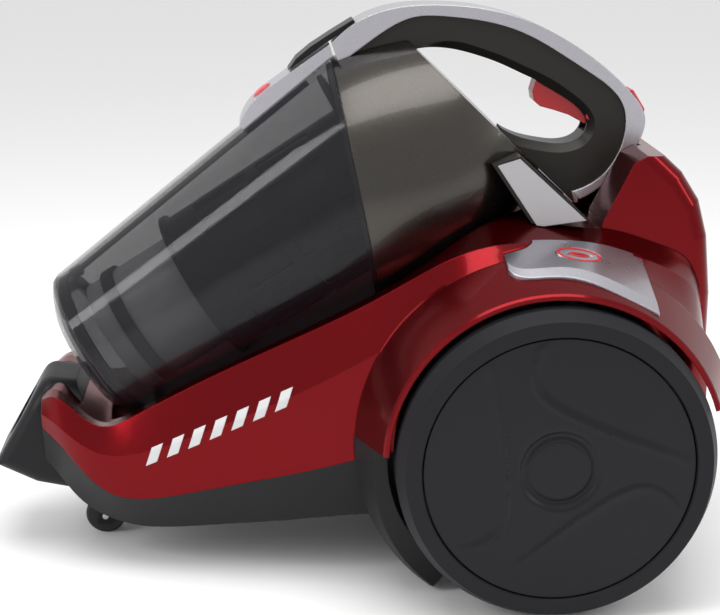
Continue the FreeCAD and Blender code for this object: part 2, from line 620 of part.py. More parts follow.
def make_bin():
    joint_front = half_space(JOINT_POINT - JOINT_WAY * GAP / 2, -JOINT_WAY)
    joint_rear = half_space(JOINT_POINT + JOINT_WAY * GAP / 2, JOINT_WAY)
    under_deck = half_space(DECK_POINT, -DECK_WAY)

    cup = on_bin([
        (bin_radius(0) - 1.2, 0), (bin_radius(0), 1.2), (bin_radius(222), 222),
        (bin_radius(222) - CUP_WALL, 222),
        (bin_radius(0) - CUP_WALL, 0),
    ])
    cup = cup.common(joint_front)
    web = on_bin([(53.6, 1.5), (58.5, 1.5), (58.5, 5.0), (53.9, 9.0)])
    web = web.common(half_space(bin_point(0, -40), -BIN_UP))
    ears = []
    for side in (-1, 1):
        y0, y1 = sorted((side * 10.3, side * 15.0))
        ears.append(rod(V(HINGE_POINT.x, y0, HINGE_POINT.z), V(HINGE_POINT.x, y1, HINGE_POINT.z), 4.0))
        ears.append(web.common(box((-200, 0), (y0, y1), (0, 200))))
    cup = cup.fuse(ears).cut(on_bin([(0, -5), (52.3, -5), (54, 12), (0, 12)]))
    cup = cup.cut(rod(HINGE_POINT - Y_AXIS * 20, HINGE_POINT + Y_AXIS * 20, 1.6))
    cup = cup.cut(port_through(DUCT_BORE))
    add("bin_cup", cup)

    door = on_bin([
        (0, -13.5), (26, -12.4), (40, -9.4), (49, -4.6), (53.2, -1.4), (53.2, -GAP), (48.6, -GAP), (48.6, 7),
        (46.4, 7), (46.4, -2.0), (38.6, -7.2), (25, -10.2), (0, -11.2),
    ])
    barrel = rod(HINGE_POINT - Y_AXIS * 10, HINGE_POINT + Y_AXIS * 10, 4.0)
    arm = on_bin([(46, -4.4), (58.5, -3.2), (58.5, -GAP), (46, -GAP)]).common(
        box((-200, 0), (-10, 10), (0, 100)))
    lug = bin_ring(3, 12, 46.4, 41).common(box((-200, 0), (-4, 4), (130, 300)))
    pin_hole = rod(HINGE_POINT - Y_AXIS * 20, HINGE_POINT + Y_AXIS * 20, 1.6 + RUN)
    door = door.fuse([barrel, arm, lug]).cut(pin_hole)
    add("bin_door", door)
    add("door_seal", bin_ring(1.5, 7, 51.6, 48.6))
    add("door_hinge_pin", rod(HINGE_POINT - Y_AXIS * 15, HINGE_POINT + Y_AXIS * 15, 1.6))

    tube = on_bin([(TUBE_R, 13), (TUBE_R, SHROUD_S), (TUBE_R - 1.8, SHROUD_S), (TUBE_R - 1.8, 13)])
    add("dust_tube", tube)
    add("tube_seal", bin_ring(25, 33, TUBE_R + 2.6, TUBE_R))
    shroud = on_bin([
        (TUBE_R, SHROUD_S - 3), (SHROUD_R + 3, SHROUD_S - 3), (SHROUD_R + 3, SHROUD_S),
        (SHROUD_R, SHROUD_S),
        (SHROUD_R + 2, BULKHEAD_S), (SHROUD_R, BULKHEAD_S), (SHROUD_R - 2, SHROUD_S + 2),
        (TUBE_R, SHROUD_S + 2),
    ])
    for row in range(2):
        for i in range(10):
            angle = radians(36 * i + 18)
            start = bin_point(118 + 46 * row)
            way = BIN_UP * cos(angle) + Y_AXIS * sin(angle)
            window = box((-9, 9), (-19, 19), (30, 60))
            turn = FreeCAD.Rotation(BIN_WAY.cross(way), BIN_WAY, way, "ZYX")
            window.Placement = FreeCAD.Placement(start, turn)
            shroud = shroud.cut(window)
    add("shroud", shroud)
    mesh = bin_ring(SHROUD_S + 6, BULKHEAD_S - 3, SHROUD_R - 2.4, SHROUD_R - 3.2)
    add("shroud_mesh", mesh)
    cone = on_bin([
        (30, BULKHEAD_S), (30, 190), (14, SHROUD_S + 8), (12.4, SHROUD_S + 8), (28.4, 190),
        (28.4, BULKHEAD_S),
    ])
    bulkhead = bin_ring(BULKHEAD_S, BULKHEAD_S + 3, 72, 14)
    finder = bin_ring(BULKHEAD_S - 34, BULKHEAD_S + 12, 14, 12.4)
    add("cyclone_insert", cone.fuse([bulkhead, finder]))

    head = head_envelope().cut(head_envelope(HEAD_WALL, 140))
    deck_wall = head_envelope().common(half_space(DECK_POINT - DECK_WAY * HEAD_WALL, DECK_WAY))
    head = head.fuse(deck_wall).common(under_deck).common(joint_rear)
    head = head.cut(outlet_port(OUTLET_R))
    add("cyclone_head", head)
    seal = bin_ring(150, 240, 90, 10).common(head_envelope(HEAD_WALL + GAP))
    seal = seal.cut(head_envelope(HEAD_WALL + 3.2))
    seal = seal.common(half_space(JOINT_POINT - JOINT_WAY * 3, JOINT_WAY))
    seal = seal.common(half_space(JOINT_POINT + JOINT_WAY * 3, -JOINT_WAY))
    add("head_seal", seal)
    below_deck = half_space(DECK_POINT - DECK_WAY * (HEAD_WALL + 2), -DECK_WAY)
    filter_space = head_envelope(HEAD_WALL + 1.0).common(below_deck)
    frame = bin_ring(224, 244, 74, 0.5).common(filter_space)
    frame = frame.cut(rod(bin_point(226), bin_point(245), 58)).cut(rod(bin_point(220), bin_point(230), 50))
    add("filter_frame", frame)
    add("pre_motor_filter", rod(bin_point(226), bin_point(242), 58).common(filter_space))
    rail = (bin_point(10, 49.6), bin_point(200, 49.6 + 190 * BIN_TAPER))
    hook = box((-6, 0), (-3.8, 3.8), (10, 17))
    hook.Placement = FreeCAD.Placement(bin_point(0, 46.8), FreeCAD.Rotation(Z_AXIS, BIN_WAY))
    hook = hook.cut(on_bin([(0, 0), (46.8, 0), (46.8, 30), (0, 30)]))
    add("door_latch", rod(rail[0], rail[1], 1.8).fuse(hook))


def make_side_wings():
    """The wedge housings that flank the head under its slanted deck, each with a pale outer panel."""
    outline = [(84, 251), (100.5, 256), (142.5, 217), (110, 212.5)]
    wing = prism(outline, -66, -16).cut(head_envelope())
    body_top = upper_loft().translated(Z_AXIS * 0.6)
    wing = wing.common(half_space(DECK_POINT, -DECK_WAY)).cut(body_top)
    panel = prism([(87, 250.4), (100.2, 254.4), (140.6, 217.2), (111.5, 213.6)], -68, -66).cut(body_top)
    add("side_wings", group([wing, mirrored(wing)]))
    add("side_panels", group([panel, mirrored(panel)]))


# ---------------------------------------------------------------- handle

STRIP_OUTER = [
    (-8, 317.5), (21, 336), (56, 340), (99, 334), (142, 314), (174, 288), (185, 271), (180, 252),
    (146, 220),
]
STRIP_INNER = [
    (-4, 305), (20, 322), (41, 332.5), (61, 333), (103, 325), (146, 301), (172, 276), (173, 263),
    (141, 225),
]
OPENING = [
    (97, 264), (102, 261), (113, 257), (123, 255), (132, 254), (140, 255), (146, 258), (150, 266),
    (138, 281), (117, 294), (108, 298), (95, 304), (81, 309), (65, 313), (44, 313),
]


TRIGGER_PIVOT = V(151, 0, 271)
TRIGGER_HALF = 8.0
TRIGGER_OUTLINE = [
    (118, 293), (116, 286), (117, 280.5), (121, 277), (130, 274.5), (139, 271.5), (149, 266),
    (154, 268), (155, 273), (149, 281), (135, 293), (124, 297),
]
TRIGGER_SPACE = [
    (109, 297), (110, 280), (130, 262), (149, 261), (158, 264), (159, 276), (151, 287), (137, 299),
    (120, 306),
]
RELEASE_POINT = V(180.4, 0, 279.0)
RELEASE_NORMAL = V(0.84, 0, 0.54).normalize()
CUP_BUTTON = V(-50.5, 0, 287.0)
CUP_BUTTON_WAY = V(-0.640, 0, 0.768).normalize()


def tangent_block(point, normal, long, half_width, low, high):
    """A block on a sloping surface: long each way along the slope, from low to high along its normal."""
    block = box((-long, long), (-half_width, half_width), (low, high))
    block.Placement = FreeCAD.Placement(point, FreeCAD.Rotation(Z_AXIS, normal))
    return block


def on_front(edge, point, normal, height):
    return abs((edge.CenterOfMass - point).dot(normal) - height) < 0.05


def plane_points(points, y=0.0):
    return [V(x, y, z) for x, z in points]


def banded(outer, inner, y):
    """A closed wire in the plane at y: splines along outer and inner, joined by two straight ends."""
    first = spline(plane_points(outer, y))
    second = spline(plane_points(inner, y))
    a = Part.LineSegment(V(outer[-1][0], y, outer[-1][1]), V(inner[-1][0], y, inner[-1][1])).toShape()
    b = Part.LineSegment(V(inner[0][0], y, inner[0][1]), V(outer[0][0], y, outer[0][1])).toShape()
    return Part.Wire(Part.sortEdges([first, a, second, b])[0])


def opening_ring(y, retreat):
    """A closed curve round the hand opening in the plane at y, moved outwards into the grip by retreat."""
    points = []
    for i, (x, z) in enumerate(OPENING):
        before, after = OPENING[i - 1], OPENING[(i + 1) % len(OPENING)]
        along = V(after[0] - before[0], 0, after[1] - before[1]).normalize()
        points.append(V(x, y, z) + V(along.z, 0, -along.x) * retreat)
    curve = Part.BSplineCurve()
    curve.interpolate(points, PeriodicFlag=True)
    return Part.Wire(curve.toShape())


def extruded(wire, half):
    return Part.Face(wire).extrude(V(0, 2 * half, 0))


def make_handle():
    head = head_envelope(0, 120)
    strip = extruded(banded(STRIP_OUTER, STRIP_INNER, -STRIP_HALF_WIDTH), STRIP_HALF_WIDTH)
    strip = strip.cut(head)

    front_outer = [(-64.6, 268.5), (-58, 280.5), (-41, 294.5), (-27, 304.5), (-9.4, 316.6)]
    front_inner = [(-60, 262), (-48, 268), (-34, 280), (-22, 290), (-5.4, 304.2)]
    front = extruded(banded(front_outer, front_inner, -STRIP_HALF_WIDTH), STRIP_HALF_WIDTH)
    front = front.cut(on_bin([(0, 60), (bin_radius(60) + GAP, 60), (bin_radius(230) + GAP, 230), (0, 230)]))

    y = -GRIP_HALF_WIDTH
    tail = plane_points([STRIP_INNER[-1], (143.5, 216.8), (97, 261.8), OPENING[0]], y)
    root = plane_points([OPENING[-1], (38, 308), (-2, 300), STRIP_INNER[0]], y)
    edges = [spline(plane_points(STRIP_INNER, y)), spline(plane_points(OPENING[:7], y)),
             spline(plane_points(OPENING[6:10], y)), spline(plane_points(OPENING[9:], y))]
    for ends in (tail, root):
        edges += [Part.LineSegment(ends[i], ends[i + 1]).toShape() for i in range(3)]
    grip = extruded(Part.Wire(Part.sortEdges(edges)[0]), GRIP_HALF_WIDTH)
    bevel = 5.0
    chamfer = Part.makeLoft([opening_ring(y - 1, bevel + 1), opening_ring(y + bevel + 0.5, -0.8)], True, True)
    grip = grip.cut(chamfer).cut(mirrored(chamfer))
    grip = grip.cut(head.common(half_space(DECK_POINT, -DECK_WAY)))
    grip = grip.cut(prism(TRIGGER_SPACE, -TRIGGER_HALF - 0.6, TRIGGER_HALF + 0.6))
    pivot_hole = rod(TRIGGER_PIVOT - Y_AXIS * 12.5, TRIGGER_PIVOT + Y_AXIS * 12.5, 2.0 + RUN)
    grip = grip.cut(pivot_hole)
    trigger = prism(TRIGGER_OUTLINE, -TRIGGER_HALF, TRIGGER_HALF)
    trigger = trigger.fuse(rod(TRIGGER_PIVOT - Y_AXIS * 12, TRIGGER_PIVOT + Y_AXIS * 12, 2.0))

    pocket = tangent_block(RELEASE_POINT, RELEASE_NORMAL, 8.4, 8.9, -15, 6)
    grip = grip.cut(pocket)
    strip = strip.cut(pocket)
    release = tangent_block(RELEASE_POINT, RELEASE_NORMAL, 8.0, 8.5, -11, 3.2)
    front_edges = [e for e in release.Edges if on_front(e, RELEASE_POINT, RELEASE_NORMAL, 3.2)]
    release = release.makeFillet(2.0, front_edges)

    front = front.cut(rod(CUP_BUTTON - CUP_BUTTON_WAY * 30, CUP_BUTTON + CUP_BUTTON_WAY * 6, 6.8))
    dome_section = [(0, -5), (6.5, -5), (6.5, 0.8), (5.4, 1.7), (3.0, 2.3), (0, 2.5)]
    dome = turned(dome_section, CUP_BUTTON, CUP_BUTTON_WAY)
    latch = prism([
        (-34.5, 300.6), (-29.5, 307.6), (-21, 314.6), (-8, 323), (5, 330.8), (6.5, 329.6), (-8, 319.2),
    ], -11, 11)
    for piece in (strip, front):
        for shift in (V(0, 0, 0.5), V(3.3, 0, 2.8)):
            latch = latch.cut(piece.translated(shift))
    add("handle_grip", grip)
    add("handle_strip", strip)
    add("cup_strip", front)
    add("cup_latch", latch)
    add("cup_release_button", dome)
    add("trigger", trigger)
    add("bin_release_button", release)


def make_interior():
    """Motor, fan, filter, cord reel and electrical pieces inside the body."""
    y, z = MOTOR_Y, MOTOR_Z

    def at(x, dy=0.0, dz=0.0):
        return V(x, y + dy, z + dz)

    can = rod(at(80), at(152), MOTOR_R).cut(rod(at(81.5), at(150.5), MOTOR_R - 1.5))
    can = can.cut(rod(at(70), at(82), 30.0)).cut(rod(at(150), at(160), 11.0 + GAP))
    for i in range(8):
        angle = radians(45 * i)
        hole = at(140, MOTOR_R * cos(angle), MOTOR_R * sin(angle))
        can = can.cut(rod(hole, at(140), 7.0))
    add("motor_housing", can)
    shell = rod(at(56), at(79.7), MOTOR_R + 2).cut(rod(at(58), at(80), MOTOR_R + 0.5))
    shell = shell.cut(rod(at(50), at(60), 18.0))
    add("fan_cover", shell)
    shaft = rod(at(59), at(158), 4.0)
    armature = rod(at(92), at(132), 21.0)
    commutator = rod(at(134), at(146), 11.0)
    add("motor_rotor", shaft.fuse([armature, commutator]))
    back = rod(at(72), at(74), 44.0)
    blades = []
    for i in range(9):
        blade = box((64, 72), (-0.7, 0.7), (14, 43))
        turn = FreeCAD.Rotation(V(1, 0, 0), 40 * i)
        blade.Placement = FreeCAD.Placement(at(0), turn).multiply(blade.Placement)
        blades.append(blade)
    eye = rod(at(64), at(72), 14.5)
    add("impeller", back.fuse(blades + [eye]).cut(shaft))
    stator = rod(at(95), at(129), MOTOR_R - 1.5).cut(rod(at(90), at(135), 22.0))
    stator = stator.cut(box((90, 135), (y - 20, y + 20), (z - 60, z + 60)))
    add("motor_stator", stator)
    rings = [rod(at(81.5), at(88), 30.0, 4.0 + RUN), rod(at(147), at(154), 11.0, 4.0 + RUN)]
    rings[0] = rings[0].common(rod(at(81.5), at(88), MOTOR_R - 1.5))
    add("motor_bearings", group(rings))
    mounts = [motor_ring(x0, x1, step, MOUNT_THICKNESS).cut(motor_ring(x0, x1, step, 0))
              for x0, x1, step in MOUNT_PLACES]
    add("motor_mounts", group(mounts))
    make_reel()
    make_exhaust()
    make_electrics()


def make_reel():
    """The cord reel: a spool on a fixed shaft, with its plate and the case of its winding spring."""
    def at(y):
        return V(REEL_X, y, REEL_Z)

    drum = turned([
        (6.0 + RUN, 16), (REEL_R, 16), (REEL_R, 17.6), (26, 17.6), (26, 60.4), (REEL_R, 60.4),
        (REEL_R, 62), (6.0 + RUN, 62),
    ], V(REEL_X, 0, REEL_Z), Y_AXIS)
    for i in range(6):
        angle = radians(60 * i)
        hole = V(42 * cos(angle), 0, 42 * sin(angle))
        drum = drum.cut(rod(at(10) + hole, at(70) + hole, 9.0))
    add("cord_reel_drum", drum)
    plate = box((REEL_X - 45, REEL_X + 45), (11.5, 14.5), (31, REEL_Z + 20)).common(lower_loft(WALL).fuse(
        box((0, 200), (0, 60), (90, 200))))
    plate = plate.fuse(rod(at(12), at(75), 6.0))
    case = rod(at(63.5), at(75), 30.0, 6.0)
    add("reel_bracket", group([plate, case]))


def make_exhaust():
    """The exhaust filter block behind a slatted door that hinges along its top edge."""
    half, low, high = 45.5, 118.6, 161.5
    door = box((217.5, 221), (-half, half), (low, high))
    slots = 6
    pitch = (high - low - 10) / slots
    for i in range(slots):
        z = low + 5 + pitch * (i + 0.22)
        for y0, y1 in ((-40, -2), (2, 40)):
            door = door.cut(box((210, 230), (y0, y1), (z, z + pitch * 0.5)))
    door = door.fuse(rod(EXHAUST_HINGE - Y_AXIS * 48.5, EXHAUST_HINGE + Y_AXIS * 48.5, EXHAUST_PIN_R))
    add("exhaust_door", door)
    add("exhaust_filter", box((196, 212), (-45.5, 45.5), (118, 156)))


def make_electrics():
    """The control board under the power button, its switch, and the cord outlet gland at the tail."""
    board = box((106, 156), (-100, -62), (178, 179.6))
    switch = box((122, 138), (-100, -90), (179.6, 188))
    chips = [box((110, 118), (-90, -70), (179.6, 184)), rod(V(147, -76, 179.6), V(147, -76, 190), 5.0)]
    add("circuit_board", board.fuse([switch] + chips))
    flange = rod(GLAND_POINT, GLAND_POINT + V(2.5, 0, 0), GLAND_R + 2.5)
    throat = rod(GLAND_POINT - V(7, 0, 0), GLAND_POINT + V(2.5, 0, 0), GLAND_R)
    bore = rod(GLAND_POINT - V(10, 0, 0), GLAND_POINT + V(10, 0, 0), 3.8)
    add("cord_outlet_gland", flange.fuse(throat).cut(bore))


def export():
    os.makedirs("parts", exist_ok=True)
    for name, shape in parts.items():
        shape.exportStep(os.path.join("parts", name + ".step"))
        solids = len(shape.Solids)
        print(name, "solids", solids, "volume", round(shape.Volume), "valid", shape.isValid())


make_body()
make_inlet()
make_caster()
make_wheels()
make_bin()
make_side_wings()
make_handle()
make_interior()
export()
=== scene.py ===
from math import cos, pi, radians, sin

import bmesh
import bpy
import numpy as np
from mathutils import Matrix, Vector
from mathutils.bvhtree import BVHTree


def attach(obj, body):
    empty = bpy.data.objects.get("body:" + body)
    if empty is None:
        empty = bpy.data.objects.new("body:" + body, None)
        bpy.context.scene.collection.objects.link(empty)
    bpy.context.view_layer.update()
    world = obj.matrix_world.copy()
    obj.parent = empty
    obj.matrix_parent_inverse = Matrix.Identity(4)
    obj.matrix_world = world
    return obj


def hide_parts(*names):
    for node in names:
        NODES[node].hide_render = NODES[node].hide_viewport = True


# The looks of a canister vacuum cleaner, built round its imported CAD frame. Metres, +Z up, hose inlet at -X.

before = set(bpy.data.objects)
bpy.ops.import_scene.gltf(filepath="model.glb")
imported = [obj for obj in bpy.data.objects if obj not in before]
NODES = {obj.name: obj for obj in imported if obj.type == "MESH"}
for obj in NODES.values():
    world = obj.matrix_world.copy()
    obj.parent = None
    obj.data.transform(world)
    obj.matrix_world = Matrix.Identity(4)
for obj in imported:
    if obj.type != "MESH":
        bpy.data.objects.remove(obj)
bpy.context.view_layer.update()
MM = 0.001

# Sizes shared with the CAD model, in millimetres
WHEEL_X, WHEEL_R = 113.5, 92.0
HALF_WIDTH = 155.0
TYRE_BORE_R = 78.0

SMOOTH_ANGLE = radians(38)


# ---------------------------------------------------------------- materials

def new_material(name, colour, roughness, metallic=0.0, coat=0.0, coat_roughness=0.05, specular=0.5):
    """A Principled material with its plain values set on the shader's own sockets."""
    mat = bpy.data.materials.new(name)
    mat.use_nodes = True
    shader = mat.node_tree.nodes["Principled BSDF"]
    shader.inputs["Base Color"].default_value = (*colour, 1.0)
    shader.inputs["Roughness"].default_value = roughness
    shader.inputs["Metallic"].default_value = metallic
    shader.inputs["Coat Weight"].default_value = coat
    shader.inputs["Coat Roughness"].default_value = coat_roughness
    shader.inputs["Specular IOR Level"].default_value = specular
    mat.diffuse_color = (*colour, 1.0)
    return mat


def link(mat, start, start_socket, end, end_socket):
    mat.node_tree.links.new(start.outputs[start_socket], end.inputs[end_socket])


def node(mat, kind):
    return mat.node_tree.nodes.new(kind)


def noise(mat, scale, detail):
    """A noise that is fixed to the object, so that it looks the same from everywhere."""
    coords = node(mat, "ShaderNodeTexCoord")
    made = node(mat, "ShaderNodeTexNoise")
    made.inputs["Scale"].default_value = scale
    made.inputs["Detail"].default_value = detail
    made.inputs["Roughness"].default_value = 0.5
    link(mat, coords, "Object", made, "Vector")
    return made


def vary_colour(mat, scale, dark, light):
    """Mottles the base colour between two colours with a noise."""
    source = noise(mat, scale, 2.0)
    ramp = node(mat, "ShaderNodeValToRGB")
    ramp.color_ramp.elements[0].position = 0.35
    ramp.color_ramp.elements[1].position = 0.65
    ramp.color_ramp.elements[0].color = (*dark, 1.0)
    ramp.color_ramp.elements[1].color = (*light, 1.0)
    link(mat, source, "Fac", ramp, "Fac")
    link(mat, ramp, "Color", mat.node_tree.nodes["Principled BSDF"], "Base Color")


def vary_roughness(mat, scale, low, high):
    """Lets the roughness wander between low and high, as on a handled surface."""
    source = noise(mat, scale, 3.0)
    spread = node(mat, "ShaderNodeMapRange")
    spread.inputs["To Min"].default_value = low
    spread.inputs["To Max"].default_value = high
    link(mat, source, "Fac", spread, "Value")
    link(mat, spread, "Result", mat.node_tree.nodes["Principled BSDF"], "Roughness")


def add_grain(mat, scale, strength, distance, edge):
    """Fine surface grain, with the shape's sharp edges softened by edge metres."""
    shader = mat.node_tree.nodes["Principled BSDF"]
    bump = node(mat, "ShaderNodeBump")
    bump.inputs["Strength"].default_value = strength
    bump.inputs["Distance"].default_value = distance
    source = noise(mat, scale, 3.0)
    link(mat, source, "Fac", bump, "Height")
    if edge:
        soft = node(mat, "ShaderNodeBevel")
        soft.samples = 4
        soft.inputs["Radius"].default_value = edge
        link(mat, soft, "Normal", bump, "Normal")
    link(mat, bump, "Normal", shader, "Normal")


def plastic(name, colour, roughness, grain=2500.0, strength=0.12, distance=0.00004, edge=0.0008, **extra):
    mat = new_material(name, colour, roughness, **extra)
    vary_roughness(mat, 60.0, roughness * 0.88, roughness * 1.12)
    add_grain(mat, grain, strength, distance, edge)
    return mat


def metallic_paint(name, deep, bright, roughness, metallic=0.92, coat=0.35):
    """Coloured plastic with metallic flakes under a clear coat."""
    mat = new_material(name, bright, roughness, metallic=metallic, coat=coat, coat_roughness=0.04)
    vary_colour(mat, 2600.0, deep, bright)
    vary_roughness(mat, 90.0, roughness * 0.9, roughness * 1.1)
    add_grain(mat, 30.0, 0.02, 0.0001, 0.0012)
    return mat


def smoked(name, colour, roughness, alpha_weight):
    """Smoky clear plastic: part of the light goes straight through, and the rest meets a glossy dark skin."""
    mat = new_material(name, colour, roughness, coat=0.0)
    shader = mat.node_tree.nodes["Principled BSDF"]
    shader.inputs["IOR"].default_value = 1.45
    vary_roughness(mat, 40.0, roughness * 0.8, roughness * 1.2)
    add_grain(mat, 25.0, 0.03, 0.0002, 0.0006)
    shader.inputs["Alpha"].default_value = alpha_weight
    return mat


RED = metallic_paint("red_gloss", (0.125, 0.0003, 0.002), (0.180, 0.0006, 0.004), 0.22, coat=0.14)
RED_DEEP = metallic_paint("red_deep", (0.095, 0.0006, 0.0025), (0.135, 0.0008, 0.004), 0.32, coat=0.22)
BRONZE = metallic_paint("bronze_gloss", (0.045, 0.041, 0.036), (0.066, 0.060, 0.053), 0.27, coat=0.35)
SILVER = metallic_paint("silver_satin", (0.42, 0.41, 0.445), (0.51, 0.50, 0.54), 0.28, metallic=0.95)
GRIP = plastic("grip_satin", (0.030, 0.028, 0.0255), 0.36, metallic=0.55, specular=0.2)
CHASSIS = plastic("chassis_grey", (0.011, 0.011, 0.0125), 0.46, specular=0.2)
COLLAR = plastic("collar_black", (0.007, 0.007, 0.0085), 0.40, specular=0.22)
BLACK = plastic("black_plastic", (0.007, 0.007, 0.008), 0.36, specular=0.2)
SHROUD = plastic("shroud_black", (0.004, 0.004, 0.005), 0.34, specular=0.12)
MESH = plastic("mesh_dark", (0.014, 0.014, 0.016), 0.4, metallic=0.8, strength=0.04)
WHEEL = plastic("wheel_grey", (0.0075, 0.0075, 0.0098), 0.34, grain=1800.0, strength=0.06, specular=0.22)
TYRE = plastic("tyre_grey", (0.0085, 0.0085, 0.0108), 0.50, grain=1500.0, strength=0.15, specular=0.2)
RUBBER = plastic("black_rubber", (0.010, 0.010, 0.010), 0.62, strength=0.25)
PALE = plastic("pale_grey", (0.37, 0.365, 0.38), 0.34)
BUTTON = plastic("button_red", (0.42, 0.008, 0.014), 0.28)
LENS = plastic("lens_red", (0.55, 0.03, 0.05), 0.15, coat=1.0)
STEEL = plastic("steel", (0.50, 0.50, 0.50), 0.28, metallic=1.0, grain=900.0)
COPPER = plastic("copper_winding", (0.52, 0.22, 0.10), 0.35, metallic=1.0, grain=1200.0, strength=0.5)
FOAM = plastic("filter_foam", (0.62, 0.62, 0.58), 0.9, grain=700.0, strength=0.9, distance=0.0004, edge=0.0)
BOARD = plastic("board_green", (0.02, 0.13, 0.05), 0.45)
INNER = plastic("inner_grey", (0.32, 0.32, 0.34), 0.25)
CUP = smoked("smoked_clear", (0.014, 0.014, 0.018), 0.06, 0.42)
MARK = plastic("mark_pale", (0.58, 0.57, 0.58), 0.4)
DOOR = smoked("smoked_door", (0.014, 0.014, 0.018), 0.06, 0.60)

LOOKS = {
    "lower_chassis": CHASSIS, "upper_body": RED, "rear_housing": RED, "wheel_arches": RED,
    "shoulder_trims": SILVER, "power_button": SILVER, "rewind_button": SILVER, "body_screws": STEEL,
    "inlet_collar": COLLAR, "inlet_duct": BLACK, "air_seals": RUBBER, "motor_plenum": BLACK,
    "caster_fork": BLACK, "caster_wheel": RUBBER, "caster_axle": STEEL,
    "tyre_left": TYRE, "tyre_right": TYRE, "wheel_rim_left": WHEEL, "wheel_rim_right": WHEEL,
    "wheel_cover_left": WHEEL, "wheel_cover_right": WHEEL, "wheel_axles": STEEL, "axle_clips": STEEL,
    "bin_cup": CUP, "bin_door": DOOR, "door_seal": RUBBER, "door_hinge_pin": STEEL,
    "dust_tube": INNER, "tube_seal": RUBBER, "shroud": SHROUD, "shroud_mesh": MESH,
    "cyclone_insert": BLACK, "cyclone_head": BRONZE, "head_seal": RUBBER,
    "filter_frame": BLACK, "pre_motor_filter": FOAM, "side_wings": GRIP,
    "side_panels": PALE, "handle_grip": GRIP, "handle_strip": SILVER, "cup_strip": SILVER,
    "cup_latch": BLACK, "cup_release_button": LENS, "trigger": BUTTON,
    "bin_release_button": BUTTON, "door_latch": BLACK,
    "motor_housing": STEEL, "fan_cover": STEEL, "motor_rotor": COPPER, "impeller": STEEL,
    "motor_stator": STEEL, "motor_bearings": STEEL, "motor_mounts": RUBBER, "cord_reel_drum": BLACK,
    "reel_bracket": STEEL, "exhaust_door": RED_DEEP, "exhaust_filter": FOAM,
    "circuit_board": BOARD, "cord_outlet_gland": RUBBER,
}


def wear(obj, mat):
    obj.data.materials.clear()
    obj.data.materials.append(mat)


for name, obj in NODES.items():
    wear(obj, LOOKS[name])


# ---------------------------------------------------------------- shapes made here

def new_piece(name, verts, faces, mat, body, smooth=True):
    """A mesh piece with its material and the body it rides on."""
    mesh = bpy.data.meshes.new(name)
    mesh.from_pydata([tuple(v) for v in verts], [], faces)
    mesh.validate()
    piece = bpy.data.objects.new(name, mesh)
    bpy.context.scene.collection.objects.link(piece)
    shell = bmesh.new()
    shell.from_mesh(mesh)
    bmesh.ops.recalc_face_normals(shell, faces=shell.faces)
    shell.to_mesh(mesh)
    shell.free()
    for face in mesh.polygons:
        face.use_smooth = smooth
    if smooth:
        mesh.set_sharp_from_angle(angle=SMOOTH_ANGLE)
    wear(piece, mat)
    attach(piece, body)
    return piece


def surface_of(name):
    """The CAD node's surface, ready for rays to be cast at it."""
    mesh = NODES[name].data
    return BVHTree.FromPolygons([v.co for v in mesh.vertices], [list(p.vertices) for p in mesh.polygons])


def catmull(points, steps):
    """A smooth line through the points, with steps spans between each pair."""
    padded = [2 * points[0] - points[1]] + points + [2 * points[-1] - points[-2]]
    line = []
    for i in range(1, len(padded) - 2):
        p0, p1, p2, p3 = padded[i - 1:i + 3]
        for k in range(steps):
            t = k / steps
            line.append(0.5 * (2 * p1 + (p2 - p0) * t + (2 * p0 - 5 * p1 + 4 * p2 - p3) * t ** 2
                               + (3 * p1 - p0 - 3 * p2 + p3) * t ** 3))
    line.append(points[-1])
    return line


# The wheel disc's three swept ridges are one curve, turned by a third of a circle. Millimetres from the hub.
RIDGE = [(-39.5, 67), (-35.5, 42), (-31.5, 15), (-29.3, -8), (-29.5, -26), (-34, -38), (-44, -45), (-59, -49)]
RIDGE_COUNT = 3
RIDGE_HEIGHT = 1.4
RIDGE_RAMP, RIDGE_DROP = 6.5, 1.6
RIDGE_START_SHARE = 0.35
DISC_R = TYRE_BORE_R - 0.6
DISC_FACE = HALF_WIDTH - 1.5
DISC_BACK = HALF_WIDTH - 4.6
DISC_RIM_DROP = 0.5
BOSS_R, BOSS_DISC_R = 24.7, 18.6
BOSS_DEPTH, BOSS_DISC_RISE = 2.8, 1.1
GROOVE_R, GROOVE_WIDTH, GROOVE_DEPTH = 17.0, 0.5, 0.35
DISC_STEPS = 300

# The rings of points are close together where the boss is shaped, and evenly spaced under the ridges.
BOSS_RINGS = [0.5, 4, 8, 12, 15.5, 16.4, 17.0, 17.6, 18.4, 19.2, 20.2, 21.2, 22.4, 23.4, 24.4, 25.4, 27]
RIDGE_RINGS = [28.5 + 1.1 * i for i in range(44)]
DISC_RINGS = BOSS_RINGS + RIDGE_RINGS + [DISC_R - 0.9, DISC_R - 0.3, DISC_R]


def smooth_step(value, low, high):
    t = min(1.0, max(0.0, (value - low) / (high - low)))
    return t * t * (3 - 2 * t)


def ridge_lines():
    lines = []
    for turn in range(RIDGE_COUNT):
        angle = 2 * pi * turn / RIDGE_COUNT
        spun = [Vector((x * cos(angle) - z * sin(angle), x * sin(angle) + z * cos(angle))) for x, z in RIDGE]
        lines.append(np.array([tuple(p) for p in catmull(spun, 10)]))
    return lines


